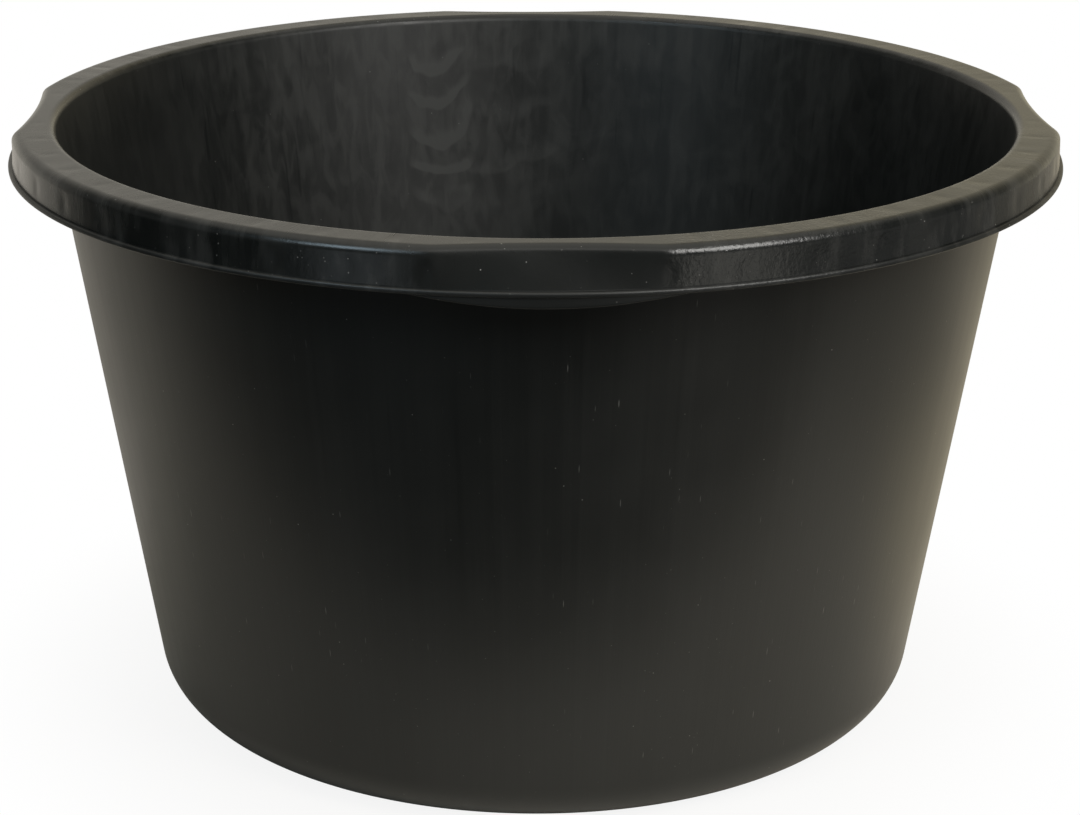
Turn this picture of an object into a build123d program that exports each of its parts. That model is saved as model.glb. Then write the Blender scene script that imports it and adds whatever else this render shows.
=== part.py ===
"""Round mortar tub, a single plastic moulding, as the regions that the mould forms.

The regions meet face to face and nothing moves. The origin is the centre of the base on
the floor, +Z is up and the front grip faces -Y.
"""
from build123d import *
import os
from math import acos, asin, atan, atan2, ceil, cos, radians, sin, sqrt, tan

# Tub, in millimetres
tub_diameter = 670.0          # across the lip at the foot of the rim
tub_height = 388.0            # floor to the top of the rim
base_diameter = 496.8         # where the wall's outside would meet the floor
wall_thickness = 3.0          # the same all over the moulding

# Base
heel_radius = 36.0            # outside, between base and wall
standing_width = 16.0         # flat ring that touches the floor
base_lift = 2.5               # how far the middle of the base stands clear of the floor
lift_run = 14.0               # radial width of the slope up to the middle

# Rim
rim_width = 27.0              # inside of the wall to the outside of the skirt, at the top
rim_depth = 25.6              # top of the rim to the underside of the lip
mouth_radius = 5.5            # rounding from the inside of the wall to the land
shoulder_radius = 6.2         # rounding from the land to the skirt
skirt_flare = 0.6             # how far the skirt leans out on its way down
lip_projection = 2.4          # how far the lip stands out from the skirt
lip_height = 3.0
lip_edge = 0.7                # bevel along the lip's edge
collar_height = 8.0           # top stretch of the wall that belongs to the land
smallest_rounding = 0.5       # inside the bends of a thick moulding
shoulder_steps = 4            # strips that make up the shoulder's rounding

# Grips, one on each side
grip_half_angle = 11.4        # degrees, middle of a grip to the end of its corner
grip_depth = 9.2              # how far a grip is set in at the top
grip_foot_depth = 0.5         # how far it is still set in above the lip
grip_corner_radius = 21.0
grip_seam_angle = 1.0         # degrees of plain skirt at each end of a grip
lug_half_width = 77.0         # crescent lug below a grip
lug_depth = 6.5
lug_setback = 1.2             # lug's face behind the lip's edge

# Ribs in the channel under the land
rib_pitch_count = 48          # rib places round the whole rim, left empty at the grips
rib_thickness = 2.5
rib_depth = 15.0              # below the underside of the land

# Where these sizes put the surfaces
lip_radius = tub_diameter / 2
skirt_foot_radius = lip_radius - lip_projection
skirt_top_radius = skirt_foot_radius - skirt_flare
wall_mouth_radius = skirt_top_radius - rim_width
base_radius = base_diameter / 2
lip_bottom = tub_height - rim_depth
lip_top = lip_bottom + lip_height
land_bottom = tub_height - wall_thickness
collar_bottom = tub_height - collar_height
shoulder_bottom = tub_height - shoulder_radius
wedge_half_angle = grip_half_angle + grip_seam_angle
cut_margin = 5.0              # how far cutting shapes run past what they cut

# The wall leans so that its outside starts at the base and its inside ends at the mouth
mouth_step = wall_mouth_radius - base_radius
lean = atan2(mouth_step, tub_height) + asin(wall_thickness / sqrt(mouth_step**2 + tub_height**2))
heel_centre_radius = base_radius + heel_radius * tan(lean) - heel_radius / cos(lean)

# Under the land the wall's outside flares out, so that the bend at the mouth is evenly thick
flare_radius = max(mouth_radius - wall_thickness, smallest_rounding)
flare_reach = flare_radius * (1 / cos(lean) - tan(lean))

# Sides of the tub, counter-clockwise from +X, and the corners between them
grip_sides = ["right", "back", "left", "front"]
corner_sides = ["back_right", "back_left", "front_left", "front_right"]
grip_angle = 360.0 / len(grip_sides)


def outside_radius(height):
    """Radius of the wall's outside at a height."""
    return base_radius + height * tan(lean)


def inside_radius(height):
    """Radius of the wall's inside at a height."""
    return outside_radius(height) - wall_thickness / cos(lean)


def on_heel(radius):
    """Point of the heel's end at the wall, at a radius from the heel's centre."""
    return (heel_centre_radius + radius * cos(lean), heel_radius - radius * sin(lean))


def arc_middle(centre, radius, start, end):
    """Point half way along an arc, from its centre and its end angles in radians."""
    middle = (start + end) / 2
    return (centre[0] + radius * cos(middle), centre[1] + radius * sin(middle))


def wall_flare():
    """Arc from the underside of the land down to the wall's outside, in radius and height."""
    centre = (outside_radius(land_bottom) + flare_reach, land_bottom - flare_radius)
    wall_end = (centre[0] - flare_radius * cos(lean), centre[1] + flare_radius * sin(lean))
    middle = arc_middle(centre, flare_radius, radians(90), radians(180) - lean)
    return ThreePointArc((centre[0], land_bottom), middle, wall_end)


def turned(edges):
    """Solid of revolution from profile edges in radius and height."""
    profile = Plane.XZ * make_face(edges)
    return revolve(profile, Axis.Z)


def floor_panel():
    """Flat base whose middle is lifted off the floor, inside a flat standing ring."""
    ring = heel_centre_radius - standing_width
    middle = ring - lift_run
    edges = Polyline(
        (0, base_lift),
        (middle, base_lift),
        (ring, 0),
        (heel_centre_radius, 0),
        (heel_centre_radius, wall_thickness),
        (ring, wall_thickness),
        (middle, base_lift + wall_thickness),
        (0, base_lift + wall_thickness),
        close=True,
    )
    return turned(edges)


def heel_ring():
    """Rounded corner between the base and the wall."""
    centre = (heel_centre_radius, heel_radius)
    inner = heel_radius - wall_thickness
    start = radians(-90)
    edges = [
        ThreePointArc((heel_centre_radius, 0), arc_middle(centre, heel_radius, start, -lean), on_heel(heel_radius)),
        Line(on_heel(heel_radius), on_heel(inner)),
        ThreePointArc(on_heel(inner), arc_middle(centre, inner, start, -lean), (heel_centre_radius, wall_thickness)),
        Line((heel_centre_radius, wall_thickness), (heel_centre_radius, 0)),
    ]
    return turned(edges)


def side_wall():
    """Leaning wall from the heel to the collar under the land."""
    edges = Polyline(
        on_heel(heel_radius),
        (outside_radius(collar_bottom), collar_bottom),
        (inside_radius(collar_bottom), collar_bottom),
        on_heel(heel_radius - wall_thickness),
        close=True,
    )
    return turned(edges)


def rim_outline(radius, face_radius, corner, height):
    """Plan outline of the rim at a height: a circle with a grip face set in on each side."""
    half = radians(grip_half_angle)
    core = radius - corner
    slope = (face_radius - corner - core * cos(half)) / (core * sin(half))
    face_angle = 2 * atan(slope)
    corner_middle = (face_angle + half) / 2

    def corner_point(side, angle, number):
        x = core * cos(half) + corner * cos(angle)
        y = core * sin(half) + corner * sin(angle)
        return Vector(x, side * y, height).rotate(Axis.Z, number * grip_angle)

    def middle_point(distance, number):
        return Vector(distance, 0, height).rotate(Axis.Z, number * grip_angle)

    edges = []
    for number in range(len(grip_sides)):
        face_start = corner_point(-1, face_angle, number)
        face_end = corner_point(1, face_angle, number)
        plain_start = corner_point(1, half, number)
        plain_end = corner_point(-1, half, number + 1)
        next_face = corner_point(-1, face_angle, number + 1)
        edges.append(ThreePointArc(face_start, middle_point(face_radius, number), face_end))
        edges.append(ThreePointArc(face_end, corner_point(1, corner_middle, number), plain_start))
        edges.append(ThreePointArc(plain_start, middle_point(radius, number + 0.5), plain_end))
        edges.append(ThreePointArc(plain_end, corner_point(-1, corner_middle, number + 1), next_face))
    return make_face(edges)


def shoulder_rounding(inset):
    """Radius of the shoulder's rounding on a surface moved inwards by inset."""
    return max(shoulder_radius - inset, smallest_rounding)


def rim_radius(inset, height, top_step=0.0, foot_step=0.0):
    """Radius of the rim's outside moved inwards by inset, at a height.

    The steps set the surface in at its top and at its foot, as in the middle of a grip.
    """
    rounding = shoulder_rounding(inset)
    bend = tub_height - inset - rounding
    centre = skirt_top_radius - top_step - inset - rounding
    run = skirt_foot_radius - foot_step - inset - centre
    drop = bend - lip_top
    tilt = acos(rounding / sqrt(run**2 + drop**2)) - atan2(drop, run)
    rise = height - bend
    if rise > rounding * sin(tilt):
        return centre + sqrt(max(rounding**2 - rise**2, 0))
    return centre + (rounding - rise * sin(tilt)) / cos(tilt)


def rim_section(inset, height):
    """Plan of the rim's outside with its grips, moved inwards by inset, at a height."""
    radius = rim_radius(inset, height)
    face_radius = rim_radius(inset, height, grip_depth, grip_foot_depth)
    corner = grip_corner_radius - max(skirt_top_radius - radius, inset)
    return rim_outline(radius, face_radius, corner, height)


def skirt_block(inset):
    """Solid inside the skirt moved inwards by inset, from the lip up to the shoulder."""
    return loft([rim_section(inset, lip_top), rim_section(inset, shoulder_bottom)], ruled=True)


def shoulder_block(inset):
    """Solid inside the shoulder moved inwards by inset, up to its flat top."""
    top = tub_height - inset
    turns = [radians(90) * step / shoulder_steps for step in range(shoulder_steps + 1)]
    heights = [shoulder_bottom + (top - shoulder_bottom) * sin(turn) for turn in turns]
    return loft([rim_section(inset, height) for height in heights], ruled=True)


def wall_cone():
    """Solid inside the outside of the wall, along the collar and its flare into the land."""
    flare = wall_flare()
    edges = [
        flare,
        Polyline(
            flare @ 1,
            (outside_radius(collar_bottom), collar_bottom),
            (0, collar_bottom),
            (0, tub_height),
            ((flare @ 0).X, tub_height),
            flare @ 0,
        ),
    ]
    return turned(edges)


def mouth_void():
    """Space inside the collar and its rounding into the land."""
    round_radius = wall_mouth_radius + mouth_radius * (1 / cos(lean) - tan(lean))
    centre = (round_radius, tub_height - mouth_radius)
    wall_end = (centre[0] - mouth_radius * cos(lean), centre[1] + mouth_radius * sin(lean))
    above = tub_height + cut_margin
    below = collar_bottom - cut_margin
    edges = [
        Line((inside_radius(below), below), wall_end),
        ThreePointArc(
            wall_end,
            arc_middle(centre, mouth_radius, radians(180) - lean, radians(90)),
            (round_radius, tub_height),
        ),
        Polyline(
            (round_radius, tub_height),
            (round_radius, above),
            (0, above),
            (0, below),
            (inside_radius(below), below),
        ),
    ]
    return turned(edges)


def rim_land():
    """Flat top of the rim with its shoulder outside and its collar and mouth inside."""
    cone = wall_cone()
    channel = shoulder_block(wall_thickness) - cone
    return shoulder_block(0) - channel + cone - mouth_void()


def rim_shell():
    """Skirt all round below the shoulder, with the grips set in."""
    return skirt_block(0) - skirt_block(wall_thickness)


def rim_wedge(start, end):
    """Wedge from the axis outwards between two angles in degrees, as tall as the rim."""
    reach = 2 * lip_radius
    corners = [Vector(reach, 0, 0).rotate(Axis.Z, angle) for angle in (start, end)]
    plan = make_face(Polyline((0, 0, 0), corners[0], corners[1], close=True))
    return Pos(0, 0, lip_bottom) * extrude(plan, amount=rim_depth, dir=(0, 0, 1))


def rim_lip():
    """Lip that runs round the foot of the skirt, wider where a grip is set in."""
    disc = Pos(0, 0, lip_bottom) * extrude(Circle(lip_radius), amount=lip_height)
    disc = chamfer(disc.edges().filter_by(GeomType.CIRCLE), lip_edge)
    return disc - extrude(rim_section(wall_thickness, lip_top), amount=lip_height, dir=(0, 0, -1))


def grip_lug():
    """Crescent that hangs below the lip at the grip on the +X side."""
    outer = lip_radius - lug_setback
    bend = (lug_half_width**2 + lug_depth**2) / (2 * lug_depth)
    ring = Circle(outer) - Circle(outer - wall_thickness)
    band = Pos(0, 0, lip_bottom - lug_depth) * extrude(ring, amount=lug_depth)
    smile = Plane.YZ * Pos(0, lip_bottom - lug_depth + bend) * Circle(bend)
    return band & extrude(smile, amount=lip_radius + cut_margin)


def rim_rib():
    """Gusset between the wall, the land and the skirt, in the middle of a plain run on +X."""
    foot = land_bottom - rib_depth
    bend = land_bottom - shoulder_rounding(wall_thickness)

    def reach(height):
        """Distance from the axis at which the rib's two outer corners meet the skirt."""
        return sqrt(rim_radius(wall_thickness, height) ** 2 - (rib_thickness / 2) ** 2)

    flare = wall_flare()
    outline = [
        flare,
        Polyline(
            flare @ 1,
            (outside_radius(foot), foot),
            (reach(foot), foot),
            (reach(bend), bend),
            (reach(land_bottom), land_bottom),
            flare @ 0,
        ),
    ]
    return extrude(Plane.XZ * make_face(outline), amount=rib_thickness / 2, both=True)


def corner_ribs(number):
    """The ribs of the plain run between two grips, as separate solids."""
    rib = rim_rib()
    pitch = 360.0 / rib_pitch_count
    first = ceil(wedge_half_angle / pitch)
    last = round(grip_angle / pitch) - first
    angles = [number * grip_angle + step * pitch for step in range(first, last + 1)]
    return Compound(children=[Rot(0, 0, angle) * rib for angle in angles])


def regions():
    """Every region of the moulding by name."""
    shell = rim_shell()
    lug = grip_lug()
    named = {
        "floor_panel": floor_panel(),
        "heel_ring": heel_ring(),
        "side_wall": side_wall(),
        "rim_land": rim_land(),
        "rim_lip": rim_lip(),
    }
    for number, side in enumerate(grip_sides):
        middle = number * grip_angle
        named[f"grip_{side}"] = shell & rim_wedge(middle - wedge_half_angle, middle + wedge_half_angle)
        named[f"lug_{side}"] = Rot(0, 0, middle) * lug
    for number, side in enumerate(corner_sides):
        start = number * grip_angle + wedge_half_angle
        end = (number + 1) * grip_angle - wedge_half_angle
        named[f"rim_skirt_{side}"] = shell & rim_wedge(start, end)
        named[f"rim_ribs_{side}"] = corner_ribs(number)
    return named


os.makedirs("parts", exist_ok=True)
for name, shape in regions().items():
    export_step(shape, f"parts/{name}.step")
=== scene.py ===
# %% [markdown]
# A black mortar tub, dressed for its portrait.
#
# The real tub is one plastic moulding: a tapered wall, a rounded heel, and a rim that turns out
# and down, with a hand grip set into each side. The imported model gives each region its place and
# size. Here every region gets a finer mesh and the finish of satin black, slightly scuffed plastic.

import math

import bmesh
import bpy
from mathutils import Matrix, Vector


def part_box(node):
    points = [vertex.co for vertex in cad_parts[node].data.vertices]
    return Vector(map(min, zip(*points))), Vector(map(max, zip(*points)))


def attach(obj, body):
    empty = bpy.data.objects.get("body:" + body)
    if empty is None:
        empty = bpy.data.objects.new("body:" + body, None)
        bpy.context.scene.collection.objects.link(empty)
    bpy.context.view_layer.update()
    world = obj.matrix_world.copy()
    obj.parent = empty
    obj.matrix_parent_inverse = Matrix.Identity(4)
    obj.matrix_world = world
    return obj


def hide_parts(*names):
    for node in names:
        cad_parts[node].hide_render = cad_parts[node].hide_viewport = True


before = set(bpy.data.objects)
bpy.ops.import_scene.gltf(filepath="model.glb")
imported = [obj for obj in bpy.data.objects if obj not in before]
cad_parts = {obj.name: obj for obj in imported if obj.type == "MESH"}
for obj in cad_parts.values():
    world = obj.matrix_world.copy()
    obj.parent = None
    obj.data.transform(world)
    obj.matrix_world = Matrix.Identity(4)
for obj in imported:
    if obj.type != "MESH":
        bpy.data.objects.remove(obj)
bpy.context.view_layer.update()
print("regions in the frame:", len(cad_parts))

# %% [markdown]
# Sizes come first. What the frame's boxes can tell is read from them, and the rest are the
# thicknesses and roundings that the moulding was designed with, in metres and radians.

# %% Sizes of the tub
lip_low, lip_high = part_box("rim_lip")
land_low, land_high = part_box("rim_land")
lip_radius = min(lip_high.x, lip_high.y, -lip_low.x, -lip_low.y)
lip_bottom = lip_low.z
lip_top = lip_high.z
tub_height = land_high.z
collar_bottom = land_low.z
heel_centre_radius = max(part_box("floor_panel")[1].xy)

wall_thickness = 0.0030
base_radius = 0.2484
heel_radius = 0.0360
standing_width = 0.0160
base_lift = 0.0025
lift_run = 0.0140

lip_projection = 0.0024
skirt_flare = 0.0006
rim_width = 0.0270
mouth_radius = 0.0055
shoulder_radius = 0.0062
skirt_foot_radius = lip_radius - lip_projection
skirt_top_radius = skirt_foot_radius - skirt_flare
wall_mouth_radius = skirt_top_radius - rim_width
land_bottom = tub_height - wall_thickness

grip_half_angle = math.radians(11.4)
grip_end_angle = math.radians(12.5)
grip_depth = 0.0092
grip_foot_depth = 0.0005
grip_corner_radius = 0.0210

mouth_step = wall_mouth_radius - base_radius
lean = math.atan2(mouth_step, tub_height)
lean += math.asin(wall_thickness / math.hypot(mouth_step, tub_height))
lean_degrees = math.degrees(lean)
print(f"wall leans {lean_degrees:.2f} degrees")

# %% [markdown]
# Three functions give the tub's radius at a height: the wall's outside, its inside, and the rim. The
# rim's one also takes an inset, for its inner face, and how far a grip sets it in.


# %% Radius at a height
def outside_radius(height):
    """Radius of the wall's outside at a height."""
    return base_radius + height * math.tan(lean)


def inside_radius(height):
    """Radius of the wall's inside at a height."""
    return outside_radius(height) - wall_thickness / math.cos(lean)


def rim_radius(inset, height, top_step=0.0, foot_step=0.0):
    """Radius of the rim's outside moved inwards by inset; the steps set it in, as in a grip."""
    rounding = shoulder_radius - inset
    bend = tub_height - shoulder_radius
    centre = skirt_top_radius - top_step - shoulder_radius
    run = skirt_foot_radius - foot_step - inset - centre
    drop = bend - lip_top
    tilt = math.acos(rounding / math.hypot(run, drop)) - math.atan2(drop, run)
    rise = height - bend
    if rise > rounding * math.sin(tilt):
        return centre + math.sqrt(max(rounding**2 - rise**2, 0.0))
    return centre + (rounding - rise * math.sin(tilt)) / math.cos(tilt)


print(f"mouth is {2 * inside_radius(tub_height) * 1000:.0f} mm across")

# %% [markdown]
# Node trees do two jobs in this file: they turn sections into meshes, and they paint the plastic.
# Wiring maths by hand is hard to read, so one small class wraps a socket and lets Python's own
# operators add the Math nodes. Every other node comes from one method.


# %% Maths on sockets
class Value:
    """A number in a node tree; operators on it add Math nodes."""

    def __init__(self, wires, socket):
        self.wires = wires
        self.socket = socket

    def __add__(self, other):
        return self.wires.maths("ADD", self, other)

    def __radd__(self, other):
        return self.wires.maths("ADD", other, self)

    def __sub__(self, other):
        return self.wires.maths("SUBTRACT", self, other)

    def __rsub__(self, other):
        return self.wires.maths("SUBTRACT", other, self)

    def __mul__(self, other):
        return self.wires.maths("MULTIPLY", self, other)

    def __rmul__(self, other):
        return self.wires.maths("MULTIPLY", other, self)

    def __truediv__(self, other):
        return self.wires.maths("DIVIDE", self, other)

    def __pow__(self, other):
        return self.wires.maths("POWER", self, other)

    def __lt__(self, other):
        return self.wires.maths("LESS_THAN", self, other)

    def __gt__(self, other):
        return self.wires.maths("GREATER_THAN", self, other)


class Wires:
    """Adds nodes to one tree."""

    def __init__(self, tree):
        self.tree = tree

    def node(self, kind, settings=None, sockets=None):
        """A node of a kind, with its settings set first and then its sockets' values or links."""
        new = self.tree.nodes.new(kind)
        for name, value in (settings or {}).items():
            setattr(new, name, value)
        for name, value in (sockets or {}).items():
            if isinstance(value, Value):
                self.tree.links.new(value.socket, new.inputs[name])
            else:
                new.inputs[name].default_value = value
        return new

    def value(self, kind, settings=None, sockets=None, out=0):
        """One output of a new node."""
        return Value(self, self.node(kind, settings, sockets).outputs[out])

    def maths(self, operation, *numbers):
        return self.value("ShaderNodeMath", {"operation": operation}, dict(enumerate(numbers)))

    def vector(self, x=0.0, y=0.0, z=0.0):
        return self.value("ShaderNodeCombineXYZ", None, {"X": x, "Y": y, "Z": z})

    def parts(self, vector):
        """The three numbers of a vector."""
        split = self.node("ShaderNodeSeparateXYZ", None, {"Vector": vector})
        return [Value(self, socket) for socket in split.outputs]

    def clamped(self, number):
        return self.value("ShaderNodeClamp", None, {"Value": number})

    def ease(self, number, low, high, to_low=0.0, to_high=1.0):
        """A smooth step from one value to another while the number goes from low to high."""
        ends = {"Value": number, "From Min": low, "From Max": high, "To Min": to_low, "To Max": to_high}
        return self.value("ShaderNodeMapRange", {"interpolation_type": "SMOOTHSTEP"}, ends)

    def fade(self, number, low, high, left=0.0):
        """A smooth step down from 1 to what is left."""
        return self.ease(number, low, high, 1.0, left)

    def band(self, number, rise_from, rise_to, fall_from, fall_to):
        """1 in the middle of a range of the number, with a smooth step at each end."""
        return self.ease(number, rise_from, rise_to) * self.fade(number, fall_from, fall_to)

    def noise(self, vector, detail=2.0, roughness=0.5, swirl=0.0):
        """Soft noise between 0 and 1, with features about one unit of the vector apart."""
        look = {"Scale": 1.0, "Detail": detail, "Roughness": roughness, "Distortion": swirl}
        return self.value("ShaderNodeTexNoise", None, {"Vector": vector, **look})

    def specks(self, vector, size):
        """Dots of varied strength, one near the middle of each cell of a scattered pattern."""
        cells = self.node("ShaderNodeTexVoronoi", {"feature": "F1"}, {"Vector": vector, "Scale": 1.0})
        apart = Value(self, cells.outputs["Distance"])
        strength, _, _ = self.parts(Value(self, cells.outputs["Color"]))
        return self.fade(apart, size * 0.4, size) * strength

    def blend(self, share, first, second):
        """A colour between two colours."""
        return self.value("ShaderNodeMix", {"data_type": "RGBA"}, {0: share, 6: first, 7: second}, 2)


# %% [markdown]
# Almost every region is a section that was turned about the tub's axis, and only the grips break
# the circle. So one Geometry Nodes tree makes them all. It lays out a grid, reads point number i of
# the section for each row, turns it to the column's angle, and draws it inwards where a grip is.
# The grip's plan is two corner arcs and a hollow arc between them, written here in polar form.
# Each section point carries how deep the grip is there, and how far a rib's sink mark pulls it in.

# %% Grip plan, where the skirt meets the shoulder
plan_core = skirt_top_radius - grip_corner_radius
plan_face = skirt_top_radius - grip_depth
core_x = plan_core * math.cos(grip_half_angle)
core_y = plan_core * math.sin(grip_half_angle)
plan_turn = 2 * math.atan((plan_face - grip_corner_radius - core_x) / core_y)
meet_x = core_x + grip_corner_radius * math.cos(plan_turn)
meet_y = core_y + grip_corner_radius * math.sin(plan_turn)
meet_angle = math.atan2(meet_y, meet_x)
hollow_radius = meet_y / math.sin(-plan_turn)
hollow_centre = plan_face + hollow_radius
quarter_turn = math.pi / 2
print(f"grip hollow has a radius of {hollow_radius * 1000:.0f} mm")


# %% Helpers: the depth of a grip, and the two ends of a tree
def grip_share(wires, angle):
    """How much of a grip's depth there is at an angle: 1 in its middle, 0 on the plain rim."""

    def root(number):
        return wires.maths("SQRT", wires.maths("MAXIMUM", number, 0.0))

    turned = wires.maths("FLOORED_MODULO", angle + quarter_turn / 2, quarter_turn) - quarter_turn / 2
    aside = wires.maths("ABSOLUTE", turned)
    across = wires.maths("SINE", aside) * hollow_centre
    hollow = wires.maths("COSINE", aside) * hollow_centre - root(hollow_radius**2 - across * across)
    off = grip_half_angle - aside
    beside = wires.maths("SINE", off) * plan_core
    corner = wires.maths("COSINE", off) * plan_core + root(grip_corner_radius**2 - beside * beside)
    in_hollow = aside < meet_angle
    in_corner = (aside < grip_half_angle) * (1 - in_hollow)
    depth = (skirt_top_radius - hollow) * in_hollow + (skirt_top_radius - corner) * in_corner
    return depth / grip_depth


def named_tree(name, inputs):
    """A Geometry Nodes group with a geometry in and out, and the given inputs."""
    tree = bpy.data.node_groups.new(name, "GeometryNodeTree")
    tree.interface.new_socket("Geometry", in_out="INPUT", socket_type="NodeSocketGeometry")
    for label, (kind, value) in inputs.items():
        socket = tree.interface.new_socket(label, in_out="INPUT", socket_type=kind)
        if value is not None:
            socket.default_value = value
    tree.interface.new_socket("Geometry", in_out="OUTPUT", socket_type="NodeSocketGeometry")
    wires = Wires(tree)
    entry = wires.node("NodeGroupInput")
    given = {socket.name: Value(wires, socket) for socket in entry.outputs if socket.name}
    return tree, wires, given


def finish_tree(wires, geometry, material):
    """Ends a tree with real geometry and its material."""
    real = wires.value("GeometryNodeRealizeInstances", None, {"Geometry": geometry})
    painted = wires.value("GeometryNodeSetMaterial", None, {"Geometry": real, "Material": material})
    wires.node("NodeGroupOutput", None, {0: painted})


# %% [markdown]
# The tree's inputs are the number of columns, the stretch of angle that they cover, and whether a
# cap closes each end. At a cap, the last column draws together to the middle of the section. The
# spin tool could turn a section too, but it couldn't draw the grips in by a rule. Edges that bend
# sharply are shaded sharp, and all others smooth.

# %% Inputs of the turning tree
rib_places = 48
mark_sharpness = 6
sharp_angle = math.radians(38)
touching = 1e-6
full_columns = 721
cap_margin = 0.1 / (full_columns - 1)
region_inputs = {
    "Columns": ("NodeSocketInt", full_columns),
    "Start": ("NodeSocketFloat", 0.0),
    "Sweep": ("NodeSocketFloat", 2 * math.pi),
    "Caps": ("NodeSocketInt", 0),
    "Rib Places": ("NodeSocketInt", rib_places),
    "Sharp Angle": ("NodeSocketFloat", sharp_angle),
    "Finish": ("NodeSocketMaterial", None),
}
print("inputs of the turning tree:", ", ".join(region_inputs))


# %% Tree that turns a section
def turning_tree():
    """A tree that turns a section's points about the axis, with grips and sink marks."""
    tree, wires, given = named_tree("turned section", region_inputs)
    section, columns, caps = given["Geometry"], given["Columns"], given["Caps"]
    count = wires.value("GeometryNodeAttributeDomainSize", {"component": "MESH"}, {"Geometry": section})
    spread = {"Size X": count - 1, "Size Y": columns - 1, "Vertices X": count, "Vertices Y": columns}
    grid = wires.value("GeometryNodeMeshGrid", None, spread)
    place = wires.value("GeometryNodeInputPosition")
    row, column, _ = wires.parts(place)
    row = wires.maths("ROUND", row + (count - 1) / 2)
    column = wires.maths("ROUND", column + (columns - 1) / 2)

    share = (column - caps) / (columns - 1 - caps * 2)
    inner_share = wires.maths("MINIMUM", wires.maths("MAXIMUM", share, 0.0), 1.0)
    at_cap = (share < -cap_margin) + (share > 1 + cap_margin)
    angle = given["Start"] + given["Sweep"] * inner_share

    def sampled(field, kind):
        """A field of the section, read at the row's point."""
        reading = {"Geometry": section, "Value": field, "Index": row}
        return wires.value("GeometryNodeSampleIndex", {"data_type": kind, "domain": "POINT"}, reading)

    def carried(name):
        """A number that the section's points carry, read at the row's point."""
        kind = {"data_type": "FLOAT"}
        return sampled(wires.value("GeometryNodeInputNamedAttribute", kind, {"Name": name}), "FLOAT")

    radius, _, height = wires.parts(sampled(place, "FLOAT_VECTOR"))
    middle = wires.value(
        "GeometryNodeAttributeStatistic",
        {"data_type": "FLOAT_VECTOR", "domain": "POINT"},
        {"Geometry": section, "Attribute": place},
        "Mean",
    )
    middle_radius, _, middle_height = wires.parts(middle)
    radius = radius * (1 - at_cap) + middle_radius * at_cap
    height = height * (1 - at_cap) + middle_height * at_cap

    grip = grip_share(wires, angle)
    mark = wires.maths("COSINE", angle * given["Rib Places"] + carried("mark_phase"))
    mark = wires.maths("MAXIMUM", mark, 0.0) ** mark_sharpness * (1 - grip)
    radius = radius - carried("set_in") * grip - carried("mark_in") * mark
    height = height - carried("mark_down") * mark
    turned_x = radius * wires.maths("COSINE", angle)
    turned_y = radius * wires.maths("SINE", angle)
    spot = wires.vector(turned_x, turned_y, height)
    moved = wires.value("GeometryNodeSetPosition", None, {"Geometry": grid, "Position": spot})
    welded = wires.value("GeometryNodeMergeByDistance", None, {"Geometry": moved, "Distance": touching})
    all_smooth = {"Geometry": welded, "Shade Smooth": True}
    smooth = wires.value("GeometryNodeSetShadeSmooth", {"domain": "FACE"}, all_smooth)
    bend = wires.value("GeometryNodeInputMeshEdgeAngle")
    some_sharp = {"Geometry": smooth, "Selection": bend > given["Sharp Angle"], "Shade Smooth": False}
    creased = wires.value("GeometryNodeSetShadeSmooth", {"domain": "EDGE"}, some_sharp)
    finish_tree(wires, creased, given["Finish"])
    return tree


region_tree = turning_tree()
print("nodes in the turning tree:", len(region_tree.nodes))

# %% [markdown]
# A section is a list of points, each a radius and a height, laid out as straight runs and arcs. The
# points become a mesh without faces, the tree turns that mesh, and the result is made a plain mesh,
# so that the finished piece has no modifier left. Its faces are turned outwards if need be.


# %% Helpers: points of a section
def run(start, end, steps):
    """Points of a straight run, without its last one."""
    return [tuple(a + (b - a) * i / steps for a, b in zip(start, end)) for i in range(steps)]


def arc(centre, radius, start, end, steps):
    """Points of an arc, without its last one; angles in degrees."""
    points = []
    for i in range(steps):
        turn = math.radians(start + (end - start) * i / steps)
        points.append((centre[0] + radius * math.cos(turn), centre[1] + radius * math.sin(turn)))
    return points


# %% Helpers: from a tree to a finished piece
def placed(name, data):
    """A new object in the scene."""
    thing = bpy.data.objects.new(name, data)
    bpy.context.scene.collection.objects.link(thing)
    return thing


def piece_from_mesh(mesh, node):
    """A finished piece, named as its mesh, that stands for a region of the frame."""
    piece = placed(mesh.name, mesh)
    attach(piece, "root")
    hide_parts(node)


def evaluated(name, start_mesh, tree, settings):
    """The plain mesh that a Geometry Nodes tree makes of a starting mesh."""
    maker = placed(name, start_mesh)
    modifier = maker.modifiers.new("shape", "NODES")
    modifier.node_group = tree
    for item in tree.interface.items_tree:
        if item.in_out == "INPUT" and item.name in settings:
            modifier[item.identifier] = settings[item.name]
    bpy.context.view_layer.update()
    made = bpy.data.meshes.new_from_object(maker.evaluated_get(bpy.context.evaluated_depsgraph_get()))
    maker.modifiers.remove(modifier)
    bpy.data.objects.remove(maker)
    made.name = name
    return made


# %% Helper: a region turned from its section
no_mark = (0.0, 0.0, 0.0)


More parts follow.
